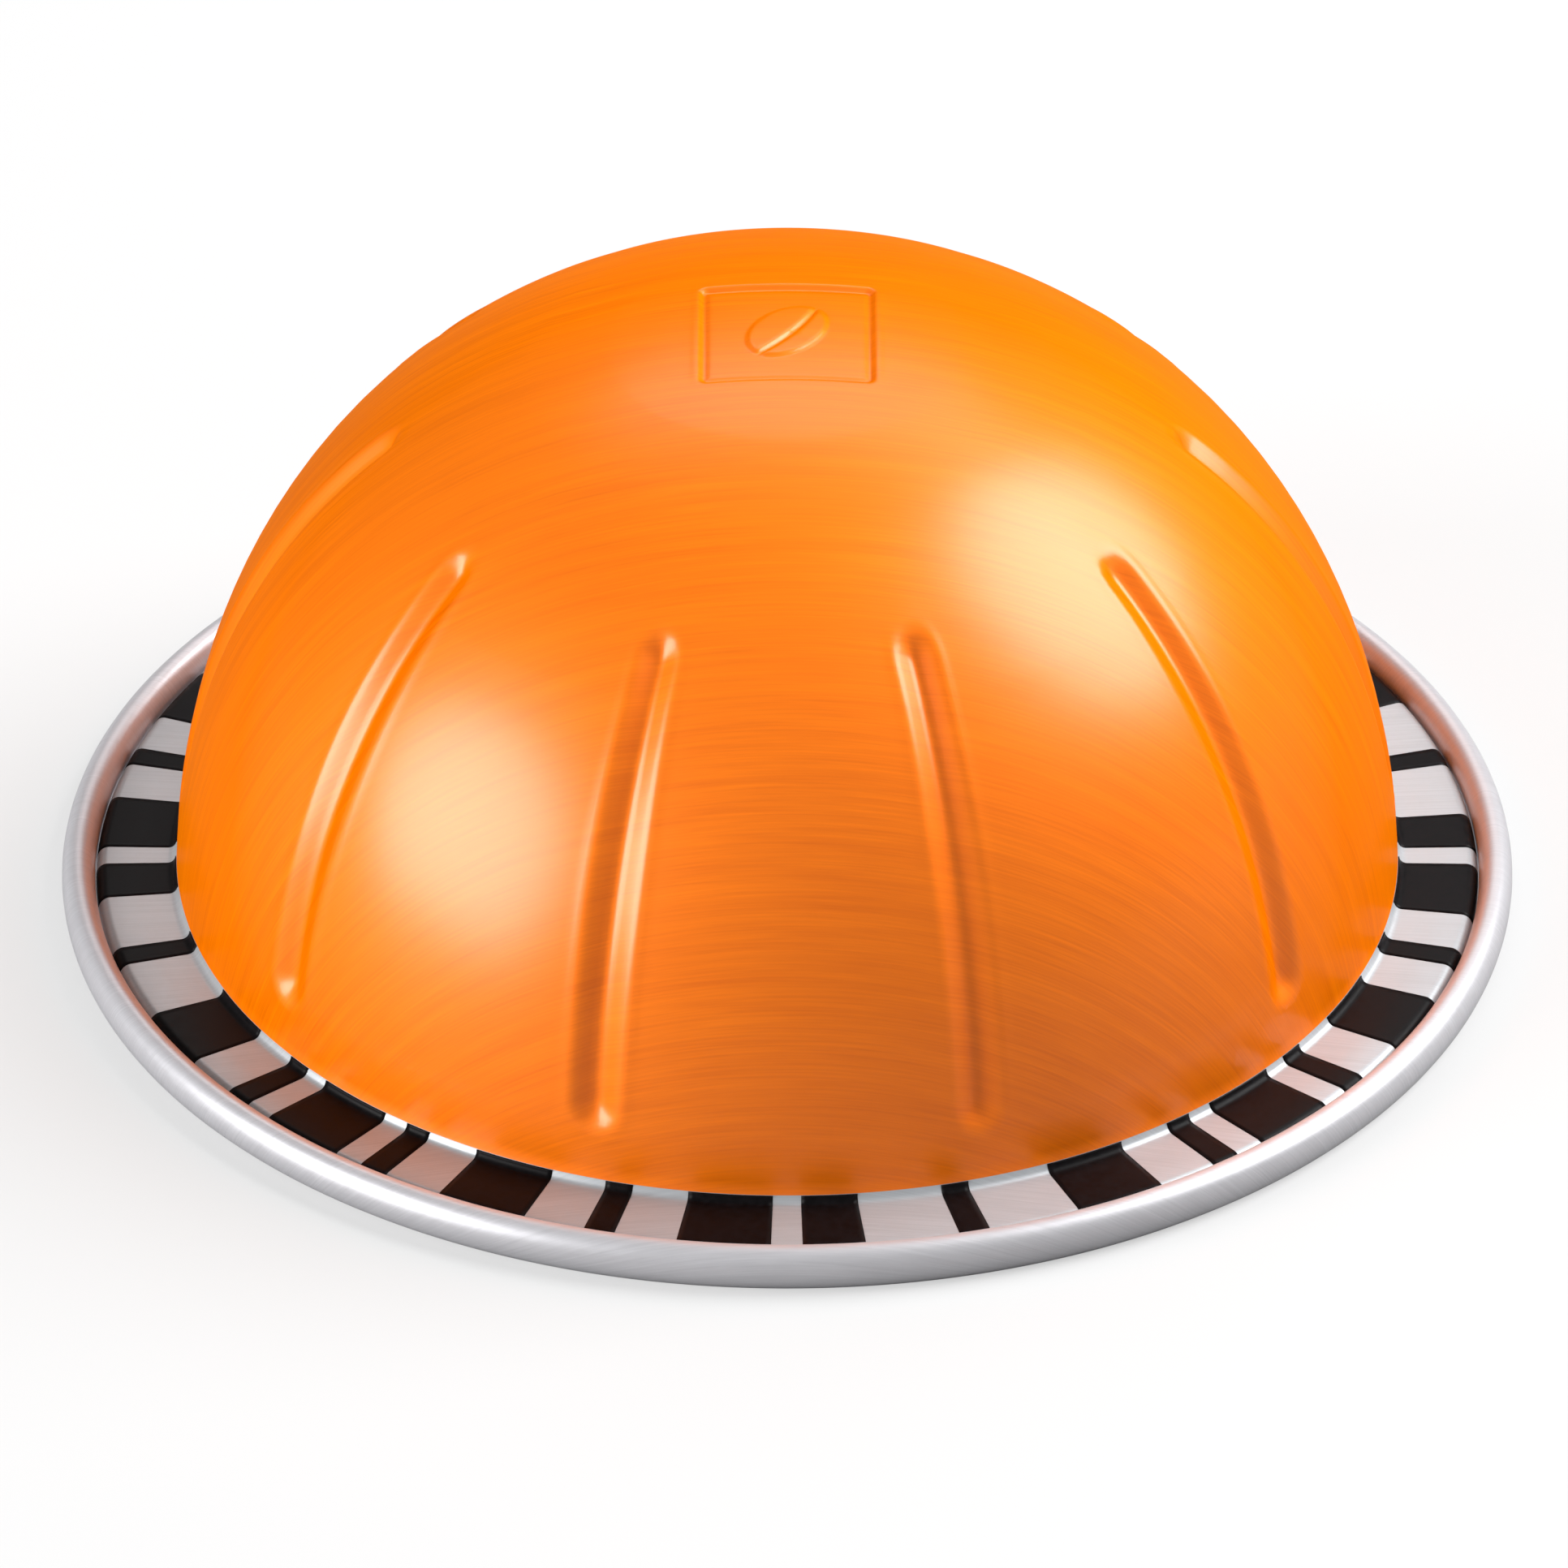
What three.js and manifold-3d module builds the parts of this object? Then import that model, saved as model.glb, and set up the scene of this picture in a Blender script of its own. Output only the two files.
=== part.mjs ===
// A sealed coffee pod: a drawn aluminium cup standing dome up on its rolled rim.
// Millimetres, +Z up. The origin is the middle of the circle that the rim stands on.
import * as THREE from 'three';
import { mergeVertices } from 'three/addons/utils/BufferGeometryUtils.js';
import Module from 'manifold-3d';

const wasm = await Module();
wasm.setup();

// Rolled rim: an oval bead round the edge of the flange.
const beadHalfWidth = 0.7;
const beadHalfHeight = 0.96;
const seatWidth = 0.4;
const beadSteps = 10;
// Angles round the bead in degrees, counted from straight out, up.
const beadFrom = 190;
const beadTo = -55;
const beadInside = [-125, -150];

// Flange: the flat land that carries the printed code, and the sheet under it.
const landTop = 1.25;
const landWidth = 2.48;
const sheetThickness = 0.25;
const shoulderWidth = 0.55;
const shoulderBendOut = 0.33;
const shoulderBendDrop = 0.16;

// Dome: a superellipse from the foot on the flange to the crown.
const footRadius = 25.72;
const footFillet = 0.35;
const domeTop = 27.3;
const domeSpring = -0.7;
const domeExponent = 2.19;
const domeSteps = 17;

// Pressed grooves that run up the dome, evenly spaced, one on each side of the front.
const grooveCount = 10;
const grooveDepth = 0.45;
const grooveBottom = 3.8;
const grooveTop = 22.25;
const grooveEnd = 1.1;
const grooveHalfWidth = 1.2;
const stepsPerGroove = 10;
const stepCrowding = 1.8;

// Square panel pressed into the crown, with a plain coffee bean raised in it.
const panelWidth = 7.16;
const panelLength = 7.3;
const panelCorner = 0.35;
const panelCornerSteps = 3;
const panelDepth = 0.14;
const beanLength = 4.3;
const beanWidth = 2.9;
const beanRise = 0.13;
const beanCrease = 0.34;
const beanTilt = 0.6;
const creaseBow = 0.3;
const beanSteps = 12;

// Lid: a foil disc sealed to the underside of the flange.
const lidThickness = 0.125;
const lidMargin = 0.25;

// Printed code: black bars across the land, joined by a hairline ring at its edge.
const inkThickness = 0.05;
const inkMargin = 0.05;
const inkRingWidth = 0.1;
const codeRepeats = 4;
const codeStart = THREE.MathUtils.degToRad(-47.6);
// Widths of one group in modules, black first, black and bare in turn.
const codeRuns = [3, 1, 1, 2, 3, 2, 1, 2, 3, 1, 2, 3, 1, 3, 3, 2, 1, 1];

// Sizes worked out from the ones above.
const landInner = footRadius + footFillet;
const landOuter = landInner + landWidth;
const beadCentre = new THREE.Vector2(landOuter + shoulderWidth + beadHalfWidth, beadHalfHeight);
const flangeUnder = landTop - sheetThickness;
const lidRadius = landOuter - lidMargin;
const domeHeight = domeTop - domeSpring;

// One material for each sub-part.
function finish(color, roughness, metalness) {
  return new THREE.MeshStandardMaterial({ color, roughness, metalness });
}

// A closed mesh as a solid that can be joined and cut.
function toSolid(geometry) {
  const bare = geometry.clone();
  bare.deleteAttribute('normal');
  bare.deleteAttribute('uv');
  const merged = mergeVertices(bare, 1e-4);
  return new wasm.Manifold(new wasm.Mesh({
    numProp: 3,
    vertProperties: new Float32Array(merged.attributes.position.array),
    triVerts: new Uint32Array(merged.index.array),
  }));
}

// A solid back as geometry.
function toGeometry(solid) {
  const mesh = solid.getMesh();
  const geometry = new THREE.BufferGeometry();
  geometry.setAttribute('position', new THREE.BufferAttribute(mesh.vertProperties, 3));
  geometry.setIndex(new THREE.BufferAttribute(mesh.triVerts, 1));
  geometry.computeVertexNormals();
  return geometry;
}

// A section, listed from the top down its outside, turned about +Z from the front (-Y).
function turned(outline, segments) {
  const geometry = new THREE.LatheGeometry(outline.toReversed(), segments);
  geometry.rotateX(Math.PI / 2);
  return geometry;
}

// Radius of the dome at a given height.
function domeRadius(z) {
  const share = (z - domeSpring) / domeHeight;
  return footRadius * Math.pow(1 - Math.pow(share, domeExponent), 1 / domeExponent);
}

// Dome outline from the crown down to the foot, with even steps along the curve.
function domeOutline() {
  const footHeight = landTop + footFillet;
  const footAngle = Math.asin(Math.pow((footHeight - domeSpring) / domeHeight, domeExponent / 2));
  const points = [new THREE.Vector2(0, domeTop)];
  for (let i = 1; i <= domeSteps; i += 1) {
    const angle = Math.PI / 2 + ((footAngle - Math.PI / 2) * i) / domeSteps;
    const z = domeSpring + domeHeight * Math.pow(Math.sin(angle), 2 / domeExponent);
    points.push(new THREE.Vector2(domeRadius(z), z));
  }
  return points;
}

// A point on the rolled bead, the angle counted from straight out, up.
function beadPoint(degrees) {
  const angle = THREE.MathUtils.degToRad(degrees);
  return new THREE.Vector2(
    beadCentre.x + beadHalfWidth * Math.cos(angle),
    beadCentre.y + beadHalfHeight * Math.sin(angle),
  );
}

// Rolled bead from the crevice beside the land, over the top and down to the seat.
function beadOutline() {
  const points = [];
  for (let i = 0; i <= beadSteps; i += 1) {
    points.push(beadPoint(beadFrom + ((beadTo - beadFrom) * i) / beadSteps));
  }
  points.push(new THREE.Vector2(beadCentre.x + seatWidth / 2, 0));
  points.push(new THREE.Vector2(beadCentre.x - seatWidth / 2, 0));
  beadInside.forEach((degrees) => points.push(beadPoint(degrees)));
  return points;
}

// Whole section of the cup, filled, from the crown round to the middle of its underside.
function cupOutline() {
  const filletMiddle = footFillet * (1 - Math.SQRT1_2);
  return [
    ...domeOutline(),
    new THREE.Vector2(footRadius + filletMiddle, landTop + filletMiddle),
    new THREE.Vector2(landInner, landTop),
    new THREE.Vector2(landOuter, landTop),
    new THREE.Vector2(landOuter + shoulderBendOut, landTop - shoulderBendDrop),
    ...beadOutline(),
    new THREE.Vector2(landOuter - sheetThickness / 2, flangeUnder),
    new THREE.Vector2(0, flangeUnder),
  ];
}

// Share of the full groove depth at a height, with rounded ends.
function grooveLengthShare(z) {
  const below = THREE.MathUtils.smoothstep(z, grooveBottom, grooveBottom + grooveEnd);
  const above = THREE.MathUtils.smoothstep(z, grooveTop - grooveEnd, grooveTop);
  return below * (1 - above);
}

// Move the rings of a turned body: crowd the steps towards each groove, then press it in.
function pressGrooves(geometry) {
  const sector = (2 * Math.PI) / grooveCount;
  const position = geometry.attributes.position;
  for (let i = 0; i < position.count; i += 1) {
    const x = position.getX(i);
    const y = position.getY(i);
    const z = position.getZ(i);
    const radius = Math.hypot(x, y);
    const turn = Math.atan2(x, -y);
    const nearest = (Math.floor(turn / sector) + 0.5) * sector;
    const share = (turn - nearest) / (sector / 2);
    const offset = Math.sign(share) * Math.pow(Math.abs(share), stepCrowding) * (sector / 2);
    const across = Math.min(Math.abs(offset * radius) / grooveHalfWidth, 1);
    const onDome = radius < landInner && z > landTop + footFillet;
    const depth = onDome ? grooveDepth * grooveLengthShare(z) * (1 - across * across) : 0;
    const angle = nearest + offset;
    position.setXYZ(i, (radius - depth) * Math.sin(angle), -(radius - depth) * Math.cos(angle), z);
  }
  return geometry;
}

// Square outline of the panel with rounded corners.
function panelShape() {
  const x = panelWidth / 2;
  const y = panelLength / 2;
  const c = panelCorner;
  const shape = new THREE.Shape();
  shape.moveTo(-x + c, -y);
  shape.lineTo(x - c, -y);
  shape.quadraticCurveTo(x, -y, x, -y + c);
  shape.lineTo(x, y - c);
  shape.quadraticCurveTo(x, y, x - c, y);
  shape.lineTo(-x + c, y);
  shape.quadraticCurveTo(-x, y, -x, y - c);
  shape.lineTo(-x, -y + c);
  shape.quadraticCurveTo(-x, -y, -x + c, -y);
  return shape;
}

// One half of the bean: an arc of its oval outside, closed along the bowed crease.
function beanHalfShape(side) {
  const points = [];
  const clip = Math.asin(beanCrease / beanWidth);
  for (let i = 0; i <= beanSteps; i += 1) {
    const angle = -Math.PI / 2 + clip + ((Math.PI - 2 * clip) * i) / beanSteps;
    points.push(new THREE.Vector2(
      side * (beanWidth / 2) * Math.cos(angle),
      (beanLength / 2) * Math.sin(angle),
    ));
  }
  for (let i = 1; i < beanSteps; i += 1) {
    const share = 1 - (2 * i) / beanSteps;
    const bow = creaseBow * (1 - share * share);
    points.push(new THREE.Vector2(side * beanCrease / 2 + bow, share * points[beanSteps].y));
  }
  return new THREE.Shape(points.map((p) => p.rotateAround(new THREE.Vector2(), -beanTilt)));
}

// An upright block on an outline, tall enough to pass through the crown.
function crownBlock(shape) {
  const reach = domeTop - grooveTop;
  const geometry = new THREE.ExtrudeGeometry(shape, {
    depth: 2 * reach,
    bevelEnabled: false,
    curveSegments: panelCornerSteps,
  });
  geometry.translate(0, 0, domeTop - reach);
  return toSolid(geometry);
}

// The dome moved straight down, to bound what is pressed into or raised from it.
function loweredDome(drop) {
  const footHeight = landTop + footFillet;
  const outline = [...domeOutline(), new THREE.Vector2(0, footHeight)];
  const geometry = turned(outline, grooveCount * stepsPerGroove);
  geometry.translate(0, 0, -drop);
  return toSolid(geometry);
}

// One-piece cup: dome, flange and rolled rim, filled, because the pod is sealed.
function buildCup() {
  const body = toSolid(pressGrooves(turned(cupOutline(), grooveCount * stepsPerGroove)));
  const pocket = crownBlock(panelShape()).subtract(loweredDome(panelDepth));
  const beanTop = loweredDome(panelDepth - beanRise);
  let cup = body.subtract(pocket);
  for (const side of [-1, 1]) {
    cup = cup.add(crownBlock(beanHalfShape(side)).intersect(beanTop));
  }
  return toGeometry(cup);
}

// Foil lid against the flat underside of the flange.
function buildLid() {
  const outline = [
    new THREE.Vector2(0, flangeUnder),
    new THREE.Vector2(lidRadius, flangeUnder),
    new THREE.Vector2(lidRadius, flangeUnder - lidThickness),
    new THREE.Vector2(0, flangeUnder - lidThickness),
  ];
  return turned(outline, grooveCount * stepsPerGroove);
}

// Ink of the printed code: a ring whose inner edge steps in at each bar.
function buildCode() {
  const modules = codeRepeats * codeRuns.reduce((sum, run) => sum + run, 0);
  const moduleAngle = (2 * Math.PI) / modules;
  const ringOuter = landOuter - inkMargin;
  const ringInner = ringOuter - inkRingWidth;
  const barInner = landInner + inkMargin;
  const at = (radius, step) => {
    const angle = codeStart + step * moduleAngle;
    return new THREE.Vector2(radius * Math.sin(angle), -radius * Math.cos(angle));
  };
  const outer = [];
  for (let step = 0; step < modules; step += 1) {
    outer.push(at(ringOuter, step));
  }
  const inner = [];
  let step = 0;
  for (let repeat = 0; repeat < codeRepeats; repeat += 1) {
    codeRuns.forEach((run, index) => {
      const radius = index % 2 === 0 ? barInner : ringInner;
      for (let i = 0; i <= run; i += 1) {
        inner.push(at(radius, step + i));
      }
      step += run;
    });
  }
  const shape = new THREE.Shape(outer);
  shape.holes.push(new THREE.Path(inner));
  const geometry = new THREE.ExtrudeGeometry(shape, { depth: inkThickness, bevelEnabled: false });
  geometry.translate(0, 0, landTop);
  return geometry;
}

// A named sub-part.
function part(name, geometry, material) {
  const mesh = new THREE.Mesh(geometry, material);
  mesh.name = name;
  return mesh;
}

const pod = new THREE.Group();
pod.add(part('cup', buildCup(), finish(0xf37600, 0.34, 0.75)));
pod.add(part('lid_foil', buildLid(), finish(0xc9c9cc, 0.38, 0.9)));
pod.add(part('code_print', buildCode(), finish(0x17161a, 0.42, 0.0)));

export default pod;
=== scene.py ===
"""Looks of the sealed coffee pod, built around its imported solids. Metres, +Z up, front at -Y."""
import math

import bpy
import numpy as np
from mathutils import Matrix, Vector


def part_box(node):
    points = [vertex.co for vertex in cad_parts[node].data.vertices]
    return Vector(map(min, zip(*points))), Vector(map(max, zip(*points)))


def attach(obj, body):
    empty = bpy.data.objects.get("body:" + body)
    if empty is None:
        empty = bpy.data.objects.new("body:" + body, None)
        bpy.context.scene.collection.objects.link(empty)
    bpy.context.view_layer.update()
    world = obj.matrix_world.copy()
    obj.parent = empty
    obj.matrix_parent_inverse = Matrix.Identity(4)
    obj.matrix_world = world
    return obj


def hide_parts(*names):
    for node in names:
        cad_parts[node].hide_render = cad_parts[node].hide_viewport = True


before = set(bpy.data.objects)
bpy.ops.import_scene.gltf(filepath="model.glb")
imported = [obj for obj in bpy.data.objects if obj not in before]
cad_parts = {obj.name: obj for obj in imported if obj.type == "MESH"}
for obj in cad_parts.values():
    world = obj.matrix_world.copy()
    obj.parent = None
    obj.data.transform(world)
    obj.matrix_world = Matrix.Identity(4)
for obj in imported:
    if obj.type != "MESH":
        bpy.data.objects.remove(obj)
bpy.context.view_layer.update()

MM = 0.001

# Overall sizes in millimetres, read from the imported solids.
_, cup_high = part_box("cup")
lid_low, lid_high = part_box("lid_foil")
ink_low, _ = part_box("code_print")
RIM_RADIUS = cup_high.x / MM
DOME_TOP = cup_high.z / MM
LAND_TOP = ink_low.z / MM
LID_RADIUS = lid_high.x / MM
LID_TOP = lid_high.z / MM
LID_BOTTOM = lid_low.z / MM

# Rolled rim. Angles of its section are in degrees, counted from straight out, up.
BEAD_HALF_WIDTH = 0.7
BEAD_HALF_HEIGHT = 0.96
SEAT_WIDTH = 0.4
BEAD_OUTSIDE = (203, -58)
BEAD_INSIDE = (-122, -168)
CUT_EDGE_IN = (0.5, 0.85)
CUT_EDGE_HEIGHT = (0.72, 0.78)

# Flange, from the foot of the dome out to its rounded edge beside the rim.
FOOT_RADIUS = 25.72
FOOT_FILLET = 0.35
LAND_WIDTH = 2.48
LAND_EDGE_WIDTH = 0.5
LAND_EDGE_DROP = 0.55
LAND_EDGE_ENDS = (90, 8)
SHEET_THICKNESS = 0.25
UNDERSIDE_DROP = 0.03
UNDERSIDE_STEP = 0.4

# Dome: a superellipse whose widest level lies just below the seat of the rim.
DOME_SPRING = -0.7
DOME_EXPONENT = 2.19

# Grooves. Rounding and lip are shares of the half width, and the lip rises by a share of the depth.
GROOVE_COUNT = 10
GROOVE_DEPTH = 0.43
GROOVE_ROUNDING = 0.22
GROOVE_BOTTOM = 3.8
GROOVE_TOP = 22.25
GROOVE_END = 1.1
GROOVE_TOP_END = 0.66
GROOVE_TOP_STEEPENING = 1.5
GROOVE_HALF_WIDTH = 1.12
GROOVE_NARROWING = 0.2
GROOVE_NARROWS_OVER = (0.5, 1.0)
GROOVE_LIP_AT = 1.1
GROOVE_LIP_WIDTH = 0.2
GROOVE_LIP_RISE = 0.06

# Square panel at the crown, and the plain coffee bean raised in it.
PANEL_WIDTH = 7.16
PANEL_LENGTH = 7.3
PANEL_CORNER = 0.35
PANEL_DEPTH = 0.14
PANEL_EDGE = (-0.12, 0.1)
PANEL_LIP_OUT = 0.22
PANEL_LIP_WIDTH = 0.16
PANEL_LIP_RISE = 0.02
PANEL_TROUGH_IN = 0.2
PANEL_TROUGH_WIDTH = 0.13
PANEL_TROUGH_DEPTH = 0.045
BEAN_LENGTH = 4.3
BEAN_WIDTH = 2.9
BEAN_RISE = 0.13
BEAN_EDGE = (0.9, 1.03)
BEAN_CROWN = 0.25
BEAN_TILT = 0.6
CREASE_WIDTH = 0.1428
CREASE_BOW = 0.3

# Code ring: runs of ink and bare metal in turn, in modules, made up and repeated round the ring.
CODE_REPEATS = 4
CODE_START = math.radians(-47.6)
CODE_RUNS = (3, 1, 1, 2, 3, 2, 1, 2, 3, 1, 2, 3, 1, 3, 3, 2, 1, 1)
INK_LIFT = 0.012
INK_SINK = 0.02

# Foil lid: a flat seal band at its edge, and a middle that is a little slack and rippled.
LID_MIDDLE = (1.2, 25.2)
LID_BAND = (25.5, 25.8, 26.2, 27.0)
LID_EDGE = 0.1
LID_TIP_RISE = 0.02
SLACK_RISE = 0.028
SLACK_RADII = (25.8, 24.0)
RIPPLE_RISE = 0.008
RIPPLE_RADII = (25.8, 23.0)
RIPPLE_TURNS = (0.9, 0.7)
RIPPLE_SWAY = (1.3, 0.8)
RIPPLE_SWAY_TURNS = (0.31, 0.23)

BEAD_CENTRE = RIM_RADIUS - BEAD_HALF_WIDTH
LAND_INNER = FOOT_RADIUS + FOOT_FILLET
LAND_OUTER = LAND_INNER + LAND_WIDTH
FLANGE_UNDER = LAND_TOP - SHEET_THICKNESS
DOME_HEIGHT = DOME_TOP - DOME_SPRING

# Fineness of the meshes.
TURN_STEPS = 700
CROWN_RADIUS = 7.6
CROWN_OUTER_RINGS = 8
PANEL_RING_STEP = 0.085
PANEL_RING_MARGIN = 0.5
DOME_SPAN_ROWS = (5, 10, 16, 9, 4)
GROOVE_END_PAST = 0.3
GROOVE_END_REACH = 2.2
FILLET_STEPS = 6
LAND_EDGE_STEPS = 7
BEAD_OUTSIDE_STEPS = 23
BEAD_INSIDE_STEPS = 3
RIM_OVERLAP_ROWS = 2
BAR_STEPS_PER_MODULE = 5
LID_STEPS = 360
LID_MIDDLE_RINGS = 40

# Grain of the rolled sheet: noise turns per millimetre along and across the rolling direction.
FINE_GRAIN = (0.16, 9.0, 1.0)
BROAD_GRAIN = (0.05, 1.6, 1.0)
BROAD_SHARE = 0.4

# Orange lacquer. Colours are sRGB from 0 to 255, noise scales are turns per metre.
LACQUER_DARK = (232, 112, 0)
LACQUER_MID = (243, 125, 0)
LACQUER_LIGHT = (252, 137, 0)
LACQUER_SPECKLE = 5200.0
LACQUER_CLOUD = 130.0
LACQUER_CLOUD_SHARE = 0.35
LACQUER_GRAIN_SPAN = (0.34, 0.66)
LACQUER_ROUGHNESS = (0.67, 0.75)
LACQUER_METALLIC = 0.75
LACQUER_EDGE_TINT = (0.2, 0.12, 0.05, 1.0)
COAT_ROUGHNESS = 0.29
COAT_IOR = 1.47
COAT_WEIGHTS = (1.0, 0.1)
COAT_FADE = (0.25, 0.6)
LACQUER_GRAIN_BUMP = (0.17, 0.00003)
LACQUER_SPECKLE_BUMP = (0.10, 0.00002)

# Bare aluminium of the flange and the rim: darkest and lightest tone, and share of metal. The flange's
# tones carry painted shade: they are darker and cooler than the rim's, standing in for the dome's shade
# and offsetting the orange light the dome throws on it.
LAND_FINISH_PAINTED_SHADE = ((168, 173, 177), (184, 190, 194), 0.35)
RIM_FINISH = ((188, 187, 191), (204, 203, 207), 0.4)
BARE_SPECKLE = 4200.0
BARE_BROAD_SHARE = 0.4
BARE_ROUGHNESS = (0.36, 0.46)
BARE_GRAIN_BUMP = (0.12, 0.00003)
BARE_SPECKLE_BUMP = (0.10, 0.00002)

# Ink and foil. Tones are the darkest and the lightest.
INK_TONES = ((8, 7, 8), (17, 15, 17))
INK_SPECKLE = 3600.0
INK_ROUGHNESS = (0.36, 0.48)
INK_GLOSS = 0.08
INK_BUMP = (0.12, 0.00002)
FOIL_TONES = ((196, 196, 199), (216, 216, 218))
FOIL_ROLLING = (60.0, 2600.0, 1.0)
FOIL_CLOUD = 160.0
FOIL_ROUGHNESS = (0.30, 0.42)
FOIL_METALLIC = 0.9
FOIL_ROLLING_BUMP = (0.15, 0.00003)
FOIL_CLOUD_BUMP = (0.35, 0.0001)

# Studio, in metres: white floor, plain surroundings brighter in front, and three oval lamps.
FLOOR_HALF = 3.0
FLOOR_GREY = (144, 144, 144)
FLOOR_GLOW = 0.53
FLOOR_ROUGHNESS = 0.9
WORLD_FRONT = 0.36
WORLD_BACK = 0.2
WORLD_FADE = (-0.9, 0.3)
LAMP_DISTANCE = 0.6
LAMP_AIM = Vector((0.0, 0.0, 0.012))
# Each lamp: name, direction from the pod, width and height, and radiance.
LAMPS = (
    ("lamp_right", (0.73, 0.19, 0.66), (0.50, 0.48), 10.4),
    ("lamp_left", (-0.885, -0.385, 0.24), (0.45, 0.40), 11.0),
    ("lamp_back", (0.04, 0.66, 0.75), (0.50, 0.28), 2.8),
)

# Camera of the photograph: a long lens from the front, above.
IMAGE_SIZE = 1932
FOCAL_PIXELS = 20000.0
PIXELS_PER_MM = 29.37
CAMERA_ELEVATION = math.radians(33.18)
TARGET = Vector((-0.133 * MM, 0.0, 4.84 * MM))
SENSOR_MM = 36.0
CLIP_NEAR = 0.05
CLIP_FAR = 20.0


def smoothstep(low, high, value):
    """Smooth rise from 0 to 1 as a value goes from low to high."""
    t = np.clip((value - low) / (high - low), 0.0, 1.0)
    return t * t * (3.0 - 2.0 * t)


def bell(value, width):
    """A smooth hump of height 1 at zero."""
    return np.exp(-(value / width) ** 2)


# Outline of the cup

def dome_radius(z):
    """Radius of the dome at a height."""
    share = np.clip((z - DOME_SPRING) / DOME_HEIGHT, 0.0, 1.0)
    return FOOT_RADIUS * (1.0 - share ** DOME_EXPONENT) ** (1.0 / DOME_EXPONENT)


def dome_height(radius):
    """Height of the dome at a radius."""
    share = np.clip(radius / FOOT_RADIUS, 0.0, 1.0)
    return DOME_SPRING + DOME_HEIGHT * (1.0 - share ** DOME_EXPONENT) ** (1.0 / DOME_EXPONENT)


def dome_rows():
    """Wall of the dome from the crown's edge to the foot, closer together at the groove ends."""
    foot = LAND_TOP + FOOT_FILLET
    edges = [
        float(dome_height(CROWN_RADIUS)),
        GROOVE_TOP + GROOVE_END_PAST,
        GROOVE_TOP - GROOVE_END_REACH,
        GROOVE_BOTTOM + GROOVE_END_REACH,
        GROOVE_BOTTOM - GROOVE_END_PAST,
        foot,
    ]
    spans = zip(edges, edges[1:], DOME_SPAN_ROWS)
    z = np.concatenate([np.linspace(high, low, rows)[:-1] for high, low, rows in spans] + [[foot]])
    return np.column_stack([dome_radius(z), z])


def arc(centre, half, ends, steps):
    """Points on an oval arc of a section, its ends in degrees from straight out, without the first."""
    angles = np.radians(np.linspace(*ends, steps + 1)[1:])
    return np.column_stack([centre[0] + half[0] * np.cos(angles), centre[1] + half[1] * np.sin(angles)])


def flange_rows():
    """Fillet at the foot, the flat land and its rounded outer edge, down into the crevice."""
    fillet_centre = (LAND_INNER, LAND_TOP + FOOT_FILLET)
    fillet = arc(fillet_centre, (FOOT_FILLET, FOOT_FILLET), (180, 270), FILLET_STEPS)
    land = [[LAND_INNER + LAND_WIDTH / 2, LAND_TOP], [LAND_OUTER, LAND_TOP]]
    edge_centre = (LAND_OUTER, LAND_TOP - LAND_EDGE_DROP)
    edge = arc(edge_centre, (LAND_EDGE_WIDTH, LAND_EDGE_DROP), LAND_EDGE_ENDS, LAND_EDGE_STEPS)
    return np.vstack([fillet, land, edge])


def bead_rows():
    """Rolled rim, over the top and down to its seat, then in to its cut edge under the flange."""
    centre = (BEAD_CENTRE, BEAD_HALF_HEIGHT)
    half = (BEAD_HALF_WIDTH, BEAD_HALF_HEIGHT)
    outside = arc(centre, half, BEAD_OUTSIDE, BEAD_OUTSIDE_STEPS)
    seat = [[BEAD_CENTRE + SEAT_WIDTH / 2, 0.0], [BEAD_CENTRE - SEAT_WIDTH / 2, 0.0]]
    inside = arc(centre, half, BEAD_INSIDE, BEAD_INSIDE_STEPS)
    cut_edge = [[BEAD_CENTRE - step, height] for step, height in zip(CUT_EDGE_IN, CUT_EDGE_HEIGHT)]
    return np.vstack([outside, seat, inside, cut_edge])


def underside_rows():
    """Underside of the flange, from its edge in."""
    return np.array([
        [LAND_OUTER, FLANGE_UNDER - UNDERSIDE_DROP],
        [LAND_OUTER - UNDERSIDE_STEP, FLANGE_UNDER],
    ])


# Relief pressed into the dome

def groove_section(distance):
    """Depth share across a groove: straight walls, rounded at the bottom and at the lip."""
    d = np.clip(distance, 0.0, 1.0)
    slope = 1.0 / (1.0 - GROOVE_ROUNDING)
    bottom = slope * d * d / (2.0 * GROOVE_ROUNDING)
    wall = slope * (d - GROOVE_ROUNDING / 2.0)
    lip = 1.0 - slope * (1.0 - d) ** 2 / (2.0 * GROOVE_ROUNDING)
    fallen = np.where(d < GROOVE_ROUNDING, bottom, np.where(d > 1.0 - GROOVE_ROUNDING, lip, wall))
    return 1.0 - fallen


def groove_press(turn, radius, z):
    """How far the grooves press the wall in, in millimetres, less the lip raised beside them."""
    sector = 2.0 * math.pi / GROOVE_COUNT
    nearest = (np.floor(turn / sector) + 0.5) * sector
    across = np.abs(turn - nearest) * radius
    along = np.clip(z, GROOVE_BOTTOM + GROOVE_END, GROOVE_TOP - GROOVE_TOP_END)
    beyond = np.abs(z - along) * np.where(z > along, GROOVE_TOP_STEEPENING, 1.0)
    height = (z - GROOVE_BOTTOM) / (GROOVE_TOP - GROOVE_BOTTOM)
    half = GROOVE_HALF_WIDTH - GROOVE_NARROWING * smoothstep(*GROOVE_NARROWS_OVER, height)
    distance = np.hypot(across, beyond) / half
    lip = GROOVE_LIP_RISE * bell(distance - GROOVE_LIP_AT, GROOVE_LIP_WIDTH)
    return GROOVE_DEPTH * (groove_section(distance) - lip)


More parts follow.
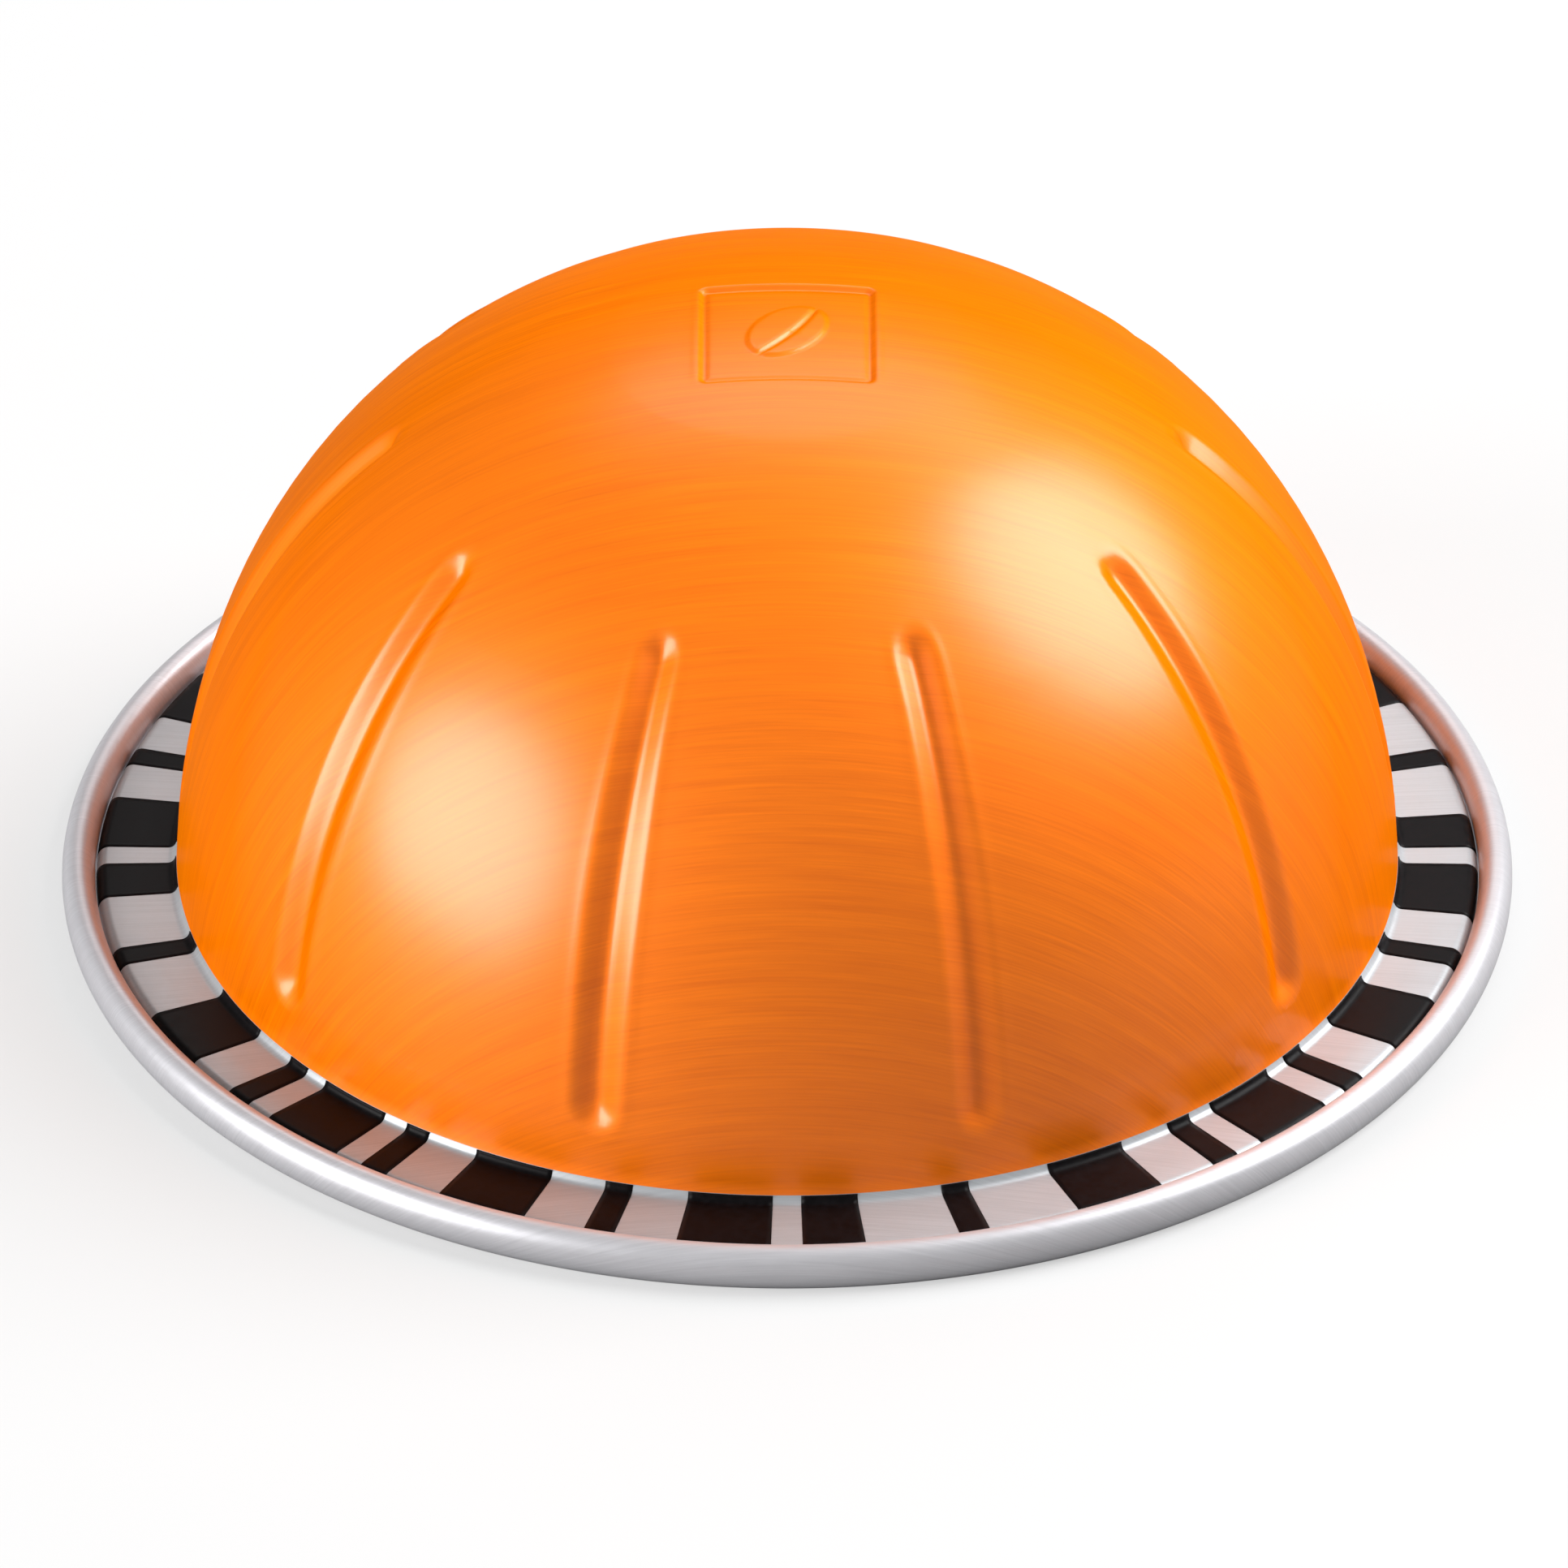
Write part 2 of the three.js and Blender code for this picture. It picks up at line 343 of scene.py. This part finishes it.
def rounded_square_distance(x, y):
    """Distance outside the panel's outline, negative inside."""
    dx = np.abs(x) - PANEL_WIDTH / 2 + PANEL_CORNER
    dy = np.abs(y) - PANEL_LENGTH / 2 + PANEL_CORNER
    outside = np.hypot(np.maximum(dx, 0.0), np.maximum(dy, 0.0))
    return outside + np.minimum(np.maximum(dx, dy), 0.0) - PANEL_CORNER


def bean_height(x, y):
    """Raised coffee bean: an oval with a bowed crease along it, turned by its tilt."""
    c = math.cos(BEAN_TILT)
    s = math.sin(BEAN_TILT)
    u = x * c - y * s
    v = x * s + y * c
    oval = np.hypot(u / (BEAN_WIDTH / 2), v / (BEAN_LENGTH / 2))
    body = 1.0 - smoothstep(*BEAN_EDGE, oval)
    crown = 1.0 - BEAN_CROWN + BEAN_CROWN * np.sqrt(np.clip(1.0 - oval * oval, 0.0, 1.0))
    share = np.clip(v / (BEAN_LENGTH / 2), -1.0, 1.0)
    middle = CREASE_BOW * (1.0 - share * share)
    crease = 1.0 - bell(u - middle, CREASE_WIDTH)
    return BEAN_RISE * body * crown * crease


def crown_press(x, y):
    """How far the panel presses the crown down, in millimetres, less the bean raised in it."""
    distance = rounded_square_distance(x, y)
    pressed = PANEL_DEPTH * (1.0 - smoothstep(*PANEL_EDGE, distance))
    lip = PANEL_LIP_RISE * bell(distance - PANEL_LIP_OUT, PANEL_LIP_WIDTH)
    trough = PANEL_TROUGH_DEPTH * bell(distance + PANEL_TROUGH_IN, PANEL_TROUGH_WIDTH)
    return pressed + trough - lip - bean_height(x, y)


# Meshes

def turn_angles(steps):
    """Even angles once round the axis, from the front."""
    return np.arange(steps) * (2.0 * math.pi / steps)


def crown_rings():
    """Rings of the crown in millimetres: square inside the panel, round at the edge."""
    turn = turn_angles(TURN_STEPS)
    unit = np.column_stack([np.sin(turn), -np.cos(turn)])
    squared = 1.0 / np.abs(unit).max(1)
    inner = np.arange(PANEL_RING_STEP, PANEL_LENGTH / 2 + PANEL_RING_MARGIN, PANEL_RING_STEP)
    outer = np.linspace(inner[-1], CROWN_RADIUS, CROWN_OUTER_RINGS)[1:]
    rings = []
    for size in np.concatenate([inner, outer]):
        square = 1.0 - np.clip((size - inner[-1]) / (CROWN_RADIUS - inner[-1]), 0.0, 1.0)
        reach = size * (1.0 + square * (squared - 1.0))
        x = unit[:, 0] * reach
        y = unit[:, 1] * reach
        z = dome_height(reach) - crown_press(x, y)
        rings.append(np.column_stack([x, y, z]))
    return rings


def wall_rings(rows):
    """Rings of the wall and rim in millimetres, with the grooves pressed in square to the wall."""
    turn = turn_angles(TURN_STEPS)
    signed = np.where(turn > math.pi, turn - 2.0 * math.pi, turn)
    rings = []
    for radius, z in rows:
        on_dome = radius < FOOT_RADIUS and z > LAND_TOP + FOOT_FILLET
        press = groove_press(signed, radius, np.full(TURN_STEPS, z)) if on_dome else 0.0
        slope = math.atan2(radius / FOOT_RADIUS ** 2, (z - DOME_SPRING) / DOME_HEIGHT ** 2)
        r = radius - press * math.sin(slope)
        height = z - press * math.cos(slope) * np.ones(TURN_STEPS)
        rings.append(np.column_stack([r * np.sin(turn), -r * np.cos(turn), height]))
    return rings


def ring_mesh(name, rings, top, bottom):
    """A closed mesh through rings of points, with a point at each end. Millimetres in."""
    steps = len(rings[0])
    vertices = np.vstack([*rings, [top], [bottom]])
    faces = []
    for low in range(0, (len(rings) - 1) * steps, steps):
        high = low + steps
        for i in range(steps):
            j = (i + 1) % steps
            faces.append((low + i, high + i, high + j, low + j))
    tip = len(rings) * steps
    last = tip - steps
    faces += [(tip, i, (i + 1) % steps) for i in range(steps)]
    faces += [(tip + 1, last + (i + 1) % steps, last + i) for i in range(steps)]
    return mesh_object(name, vertices, faces)


def mesh_object(name, vertices, faces):
    """A smooth shaded object in the scene. Millimetres in."""
    mesh = bpy.data.meshes.new(name)
    mesh.from_pydata((np.asarray(vertices) * MM).tolist(), [], faces)
    mesh.validate()
    mesh.shade_smooth()
    piece = bpy.data.objects.new(name, mesh)
    bpy.context.scene.collection.objects.link(piece)
    return piece


def rolled_lengths(rows):
    """How far each row lies from the middle of the crown along the sheet, in millimetres."""
    outline = np.vstack([[0.0, DOME_TOP], [CROWN_RADIUS, dome_height(CROWN_RADIUS)], rows])
    steps = np.hypot(*np.diff(outline, axis=0).T)
    return np.cumsum(steps)[1:]


def lay_grain(piece, lengths):
    """Store where each vertex lay on the flat sheet before drawing, in millimetres."""
    points = np.array([v.co for v in piece.data.vertices]) / MM
    radius = np.maximum(np.hypot(points[:, 0], points[:, 1]), 1e-6)
    flat = points.copy()
    flat[:, 2] = 0.0
    flat[:, :2] *= (lengths / radius)[:, None]
    layer = piece.data.attributes.new("flat_sheet", "FLOAT_VECTOR", "POINT")
    layer.data.foreach_set("vector", flat.astype(np.float32).ravel())


def finish_cup(piece, land_from, rim_from, ring_rows):
    """Three finishes by rows of faces: lacquered dome, bare flange with painted shade in its tone, then
    rim and underside.
    """
    piece.data.materials.append(lacquer_material())
    # The flange's bare metal has painted shade: tones darker and cooler than the rim's.
    piece.data.materials.append(bare_material("bare_land_painted_shade", *LAND_FINISH_PAINTED_SHADE))
    piece.data.materials.append(bare_material("bare_rim", *RIM_FINISH))
    lacquer, land, rim = range(3)
    finishes = (lacquer, land, rim, lacquer, rim)
    rows = np.array([land_from, rim_from - land_from, ring_rows - rim_from, 1, 1])
    index = np.repeat(finishes, rows * TURN_STEPS).astype(np.int32)
    piece.data.polygons.foreach_set("material_index", index)


def build_cup():
    """Drawn cup: dome, flange and rolled rim in one closed mesh."""
    crown = crown_rings()
    dome = dome_rows()[1:]
    flange = flange_rows()
    rows = np.vstack([dome, flange, bead_rows(), underside_rows()])
    tip_height = DOME_TOP - PANEL_DEPTH + float(bean_height(np.zeros(1), np.zeros(1))[0])
    rings = crown + wall_rings(rows)
    piece = ring_mesh("drawn_cup", rings, (0.0, 0.0, tip_height), (0.0, 0.0, FLANGE_UNDER))
    crown_reach = np.concatenate([np.hypot(ring[:, 0], ring[:, 1]) for ring in crown])
    wall_reach = np.repeat(rolled_lengths(rows), TURN_STEPS)
    lay_grain(piece, np.concatenate([crown_reach, wall_reach, [0.0, 0.0]]))
    land_from = len(crown) + len(dome) - 1
    rim_from = land_from + len(flange) - RIM_OVERLAP_ROWS
    finish_cup(piece, land_from, rim_from, len(rings) - 1)
    return piece


def black_runs():
    """Start and width in modules of each black bar round the ring, and the ring's modules."""
    runs = []
    step = 0
    for index, width in enumerate(CODE_RUNS * CODE_REPEATS):
        if index % 2 == 0:
            runs.append((step, width))
        step += width
    return runs, step


def ink_section():
    """Section of the ink, a skin over the fillet, the land and its rounded edge."""
    rows = np.vstack([[[FOOT_RADIUS, LAND_TOP + FOOT_FILLET]], flange_rows()])
    tangent = np.gradient(rows, axis=0)
    normal = np.column_stack([-tangent[:, 1], tangent[:, 0]])
    normal /= np.linalg.norm(normal, axis=1)[:, None]
    over = rows + normal * INK_LIFT
    under = rows - normal * INK_SINK
    return np.vstack([over, under[::-1]])


def add_bar(vertices, faces, section, turn):
    """One closed bar of ink, its section swept through a list of angles."""
    base = len(vertices)
    count = len(section)
    last = base + (len(turn) - 1) * count
    for angle in turn:
        for radius, z in section:
            vertices.append((radius * math.sin(angle), -radius * math.cos(angle), z))
    for a in range(base, last, count):
        b = a + count
        for j in range(count):
            k = (j + 1) % count
            faces.append((a + j, a + k, b + k, b + j))
    faces.append(tuple(base + j for j in reversed(range(count))))
    faces.append(tuple(last + j for j in range(count)))


def build_code():
    """Ring of ink bars."""
    runs, modules = black_runs()
    module = 2.0 * math.pi / modules
    section = ink_section()
    vertices = []
    faces = []
    for start, width in runs:
        steps = width * BAR_STEPS_PER_MODULE
        turn = CODE_START + (start + np.linspace(0, width, steps + 1)) * module
        add_bar(vertices, faces, section, turn)
    piece = mesh_object("code_bars", vertices, faces)
    piece.data.materials.append(ink_material())
    return piece


def foil_relief(x, y, radius):
    """Height of the foil's underside above its lowest face."""
    slack = SLACK_RISE * smoothstep(*SLACK_RADII, radius)
    across = np.sin(x * RIPPLE_TURNS[0] + RIPPLE_SWAY[0] * np.sin(y * RIPPLE_SWAY_TURNS[0]))
    along = np.cos(y * RIPPLE_TURNS[1] + RIPPLE_SWAY[1] * np.sin(x * RIPPLE_SWAY_TURNS[1]))
    return slack + RIPPLE_RISE * across * along * smoothstep(*RIPPLE_RADII, radius)


def build_lid():
    """Foil lid: a flat seal band at its edge and a very slightly slack middle with fine creases."""
    turn = turn_angles(LID_STEPS)
    middle = np.linspace(*LID_MIDDLE, LID_MIDDLE_RINGS)
    rings = []
    for radius in [*middle, *LID_BAND, LID_RADIUS - LID_EDGE, LID_RADIUS]:
        x = radius * np.sin(turn)
        y = -radius * np.cos(turn)
        rings.append(np.column_stack([x, y, LID_BOTTOM + foil_relief(x, y, radius)]))
    rim = rings[-1].copy()
    rim[:, 2] = LID_TOP
    inside_out = [ring[::-1] for ring in [*rings, rim]]
    piece = ring_mesh("foil_lid", inside_out, (0.0, 0.0, LID_BOTTOM + LID_TIP_RISE), (0.0, 0.0, LID_TOP))
    piece.data.materials.append(foil_material())
    return piece


# Materials

class Nodes:
    """Short helper that adds and links shader nodes."""

    def __init__(self, name):
        self.material = bpy.data.materials.new(name)
        self.material.use_nodes = True
        self.tree = self.material.node_tree
        self.shader = self.tree.nodes["Principled BSDF"]

    def add(self, kind, **settings):
        node = self.tree.nodes.new(kind)
        for key, value in settings.items():
            setattr(node, key, value)
        return node

    def link(self, source, target):
        self.tree.links.new(source, target)

    def set_inputs(self, **constants):
        for name, value in constants.items():
            self.shader.inputs[name.replace("_", " ")].default_value = value

    def maths(self, operation, first, second):
        node = self.add("ShaderNodeMath", operation=operation)
        for socket, value in zip(node.inputs, (first, second)):
            if isinstance(value, (int, float)):
                socket.default_value = value
            else:
                self.link(value, socket)
        return node.outputs[0]

    def place(self):
        """The point on the object, in metres."""
        return self.add("ShaderNodeTexCoord").outputs["Object"]

    def scaled(self, vector, scale):
        node = self.add("ShaderNodeVectorMath", operation="MULTIPLY")
        self.link(vector, node.inputs[0])
        node.inputs[1].default_value = scale
        return node.outputs[0]

    def noise(self, vector, scale, detail=3.0, roughness=0.55):
        node = self.add("ShaderNodeTexNoise")
        node.inputs["Scale"].default_value = scale
        node.inputs["Detail"].default_value = detail
        node.inputs["Roughness"].default_value = roughness
        self.link(vector, node.inputs["Vector"])
        return node.outputs["Fac"]

    def ramp(self, value, low, high, from_min=0.3, from_max=0.7):
        """A value taken from one range to another, held at its ends."""
        node = self.add("ShaderNodeMapRange")
        self.link(value, node.inputs["Value"])
        ends = {"From Min": from_min, "From Max": from_max, "To Min": low, "To Max": high}
        for name, number in ends.items():
            node.inputs[name].default_value = number
        return node.outputs["Result"]

    def mix(self, factor, first, second):
        """A blend of two colours, each an sRGB tuple or a socket."""
        node = self.add("ShaderNodeMix", data_type="RGBA")
        self.link(factor, node.inputs["Factor"])
        for name, colour in (("A", first), ("B", second)):
            socket = [s for s in node.inputs if s.name == name and s.type == "RGBA"][0]
            if isinstance(colour, tuple):
                socket.default_value = linear(*colour)
            else:
                self.link(colour, socket)
        return [s for s in node.outputs if s.type == "RGBA"][0]

    def bump(self, height, strength, distance, normal=None):
        node = self.add("ShaderNodeBump")
        node.inputs["Strength"].default_value = strength
        node.inputs["Distance"].default_value = distance
        self.link(height, node.inputs["Height"])
        if normal is not None:
            self.link(normal, node.inputs["Normal"])
        return node.outputs["Normal"]

    def finish(self, colour, roughness, normal, **constants):
        for name, source in (("Base Color", colour), ("Roughness", roughness), ("Normal", normal)):
            self.link(source, self.shader.inputs[name])
        self.set_inputs(**constants)
        return self.material


def linear(red, green, blue):
    """An sRGB colour, 0 to 255, as linear values with full cover."""
    def one(value):
        share = value / 255.0
        return share / 12.92 if share <= 0.04045 else ((share + 0.055) / 1.055) ** 2.4
    return (one(red), one(green), one(blue), 1.0)


def sheet_grain(nodes):
    """Rolling grain of the flat sheet, carried along as it was drawn: fine and broad."""
    sheet = nodes.add("ShaderNodeAttribute", attribute_name="flat_sheet").outputs["Vector"]
    fine = nodes.noise(nodes.scaled(sheet, FINE_GRAIN), 1.0, detail=4.0, roughness=0.6)
    broad = nodes.noise(nodes.scaled(sheet, BROAD_GRAIN), 1.0)
    return fine, broad


def lacquer_material():
    """Clear orange lacquer over brushed aluminium, glossier face on than edge on."""
    nodes = Nodes("orange_lacquer")
    place = nodes.place()
    fine, broad = sheet_grain(nodes)
    speckle = nodes.noise(place, LACQUER_SPECKLE, detail=2.0)
    cloud = nodes.noise(place, LACQUER_CLOUD)
    fine_part = nodes.maths("MULTIPLY", fine, 1.0 - BROAD_SHARE)
    grain = nodes.maths("ADD", fine_part, nodes.maths("MULTIPLY", broad, BROAD_SHARE))
    tone = nodes.mix(nodes.ramp(grain, 0.0, 1.0, *LACQUER_GRAIN_SPAN), LACQUER_DARK, LACQUER_LIGHT)
    tone = nodes.mix(nodes.ramp(cloud, 0.0, LACQUER_CLOUD_SHARE), tone, LACQUER_MID)
    bumped = nodes.bump(fine, *LACQUER_GRAIN_BUMP)
    bumped = nodes.bump(speckle, *LACQUER_SPECKLE_BUMP, bumped)
    edge = nodes.add("ShaderNodeLayerWeight").outputs["Facing"]
    nodes.link(nodes.ramp(edge, *COAT_WEIGHTS, *COAT_FADE), nodes.shader.inputs["Coat Weight"])
    return nodes.finish(
        tone, nodes.ramp(grain, *LACQUER_ROUGHNESS), bumped,
        Metallic=LACQUER_METALLIC, Specular_IOR_Level=0.0, Specular_Tint=LACQUER_EDGE_TINT,
        Coat_Roughness=COAT_ROUGHNESS, Coat_IOR=COAT_IOR,
    )


def bare_material(name, dark, light, metallic):
    """Bare aluminium sheet with its rolling grain."""
    nodes = Nodes(name)
    fine, broad = sheet_grain(nodes)
    speckle = nodes.noise(nodes.place(), BARE_SPECKLE)
    tone = nodes.mix(nodes.ramp(fine, 0.0, 1.0), dark, light)
    tone = nodes.mix(nodes.ramp(broad, 0.0, BARE_BROAD_SHARE), tone, dark)
    bumped = nodes.bump(fine, *BARE_GRAIN_BUMP)
    bumped = nodes.bump(speckle, *BARE_SPECKLE_BUMP, bumped)
    return nodes.finish(tone, nodes.ramp(speckle, *BARE_ROUGHNESS), bumped, Metallic=metallic)


def ink_material():
    """Satin black ink, slightly uneven."""
    nodes = Nodes("black_code_ink")
    speckle = nodes.noise(nodes.place(), INK_SPECKLE)
    tone = nodes.mix(nodes.ramp(speckle, 0.0, 1.0), *INK_TONES)
    bumped = nodes.bump(speckle, *INK_BUMP)
    return nodes.finish(tone, nodes.ramp(speckle, *INK_ROUGHNESS), bumped, Specular_IOR_Level=INK_GLOSS)


def foil_material():
    """Matt rolled foil, softly dented."""
    nodes = Nodes("lid_foil")
    place = nodes.place()
    rolled = nodes.noise(nodes.scaled(place, FOIL_ROLLING), 1.0, detail=4.0)
    cloud = nodes.noise(place, FOIL_CLOUD, detail=4.0)
    tone = nodes.mix(nodes.ramp(rolled, 0.0, 1.0), *FOIL_TONES)
    bumped = nodes.bump(rolled, *FOIL_ROLLING_BUMP)
    bumped = nodes.bump(cloud, *FOIL_CLOUD_BUMP, bumped)
    return nodes.finish(tone, nodes.ramp(cloud, *FOIL_ROUGHNESS), bumped, Metallic=FOIL_METALLIC)


def floor_material():
    """White floor that keeps the object's shadow; a part of its white is its own for the camera."""
    nodes = Nodes("white_floor")
    seen = nodes.add("ShaderNodeLightPath").outputs["Is Camera Ray"]
    glow = nodes.maths("MULTIPLY", seen, FLOOR_GLOW)
    nodes.link(glow, nodes.shader.inputs["Emission Strength"])
    nodes.set_inputs(
        Base_Color=linear(*FLOOR_GREY), Roughness=FLOOR_ROUGHNESS, Specular_IOR_Level=0.0,
        Emission_Color=(1.0, 1.0, 1.0, 1.0),
    )
    return nodes.material


# Studio

def build_floor():
    """Floor under the pod, far wider than the camera's view."""
    far = FLOOR_HALF
    mesh = bpy.data.meshes.new("studio_floor")
    corners = [(-far, -far, 0.0), (far, -far, 0.0), (far, far, 0.0), (-far, far, 0.0)]
    mesh.from_pydata(corners, [], [(0, 1, 2, 3)])
    mesh.materials.append(floor_material())
    floor = bpy.data.objects.new("studio_floor", mesh)
    bpy.context.scene.collection.objects.link(floor)


def build_world():
    """Plain surroundings, brighter in front. The camera sees only the floor, never the world."""
    world = bpy.data.worlds.new("studio")
    bpy.context.scene.world = world
    world.use_nodes = True
    tree = world.node_tree
    background = tree.nodes["Background"]
    background.inputs["Color"].default_value = (1.0, 1.0, 1.0, 1.0)
    direction = tree.nodes.new("ShaderNodeTexCoord")
    axes = tree.nodes.new("ShaderNodeSeparateXYZ")
    fade = tree.nodes.new("ShaderNodeMapRange")
    fade.interpolation_type = "SMOOTHSTEP"
    fade.inputs["From Min"].default_value = WORLD_FADE[0]
    fade.inputs["From Max"].default_value = WORLD_FADE[1]
    fade.inputs["To Min"].default_value = WORLD_FRONT
    fade.inputs["To Max"].default_value = WORLD_BACK
    tree.links.new(direction.outputs["Generated"], axes.inputs[0])
    tree.links.new(axes.outputs["Y"], fade.inputs["Value"])
    tree.links.new(fade.outputs["Result"], background.inputs["Strength"])


def build_lamp(name, direction, size, radiance):
    """An oval lamp that faces the pod from a direction."""
    lamp = bpy.data.lights.new(name, "AREA")
    lamp.shape = "ELLIPSE"
    lamp.size = size[0]
    lamp.size_y = size[1]
    area = math.pi * size[0] * size[1] / 4.0
    lamp.energy = radiance * math.pi * area
    holder = bpy.data.objects.new(name, lamp)
    bpy.context.scene.collection.objects.link(holder)
    holder.location = LAMP_AIM + Vector(direction).normalized() * LAMP_DISTANCE
    holder.rotation_euler = (LAMP_AIM - holder.location).to_track_quat("-Z", "Y").to_euler()


def build_camera():
    """The photograph's camera, square to the front of the pod and above it."""
    data = bpy.data.cameras.new("photo_camera")
    data.sensor_fit = "HORIZONTAL"
    data.sensor_width = SENSOR_MM
    data.lens = FOCAL_PIXELS / IMAGE_SIZE * SENSOR_MM
    data.clip_start = CLIP_NEAR
    data.clip_end = CLIP_FAR
    camera = bpy.data.objects.new("photo_camera", data)
    bpy.context.scene.collection.objects.link(camera)
    distance = FOCAL_PIXELS / PIXELS_PER_MM * MM
    away = Vector((0.0, -math.cos(CAMERA_ELEVATION), math.sin(CAMERA_ELEVATION)))
    camera.location = TARGET + away * distance
    camera.rotation_euler = (math.pi / 2 - CAMERA_ELEVATION, 0.0, 0.0)
    bpy.context.scene.camera = camera


def place(piece, node, slot_name):
    """Let a piece stand for its solid."""
    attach(piece, "root")
    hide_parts(node)


build_camera()
build_world()
build_floor()
for lamp_settings in LAMPS:
    build_lamp(*lamp_settings)
place(build_cup(), "cup", "lacquered_aluminium")
place(build_lid(), "lid_foil", "lid_foil")
place(build_code(), "code_print", "black_ink")

bpy.context.scene.view_settings.view_transform = "Standard"
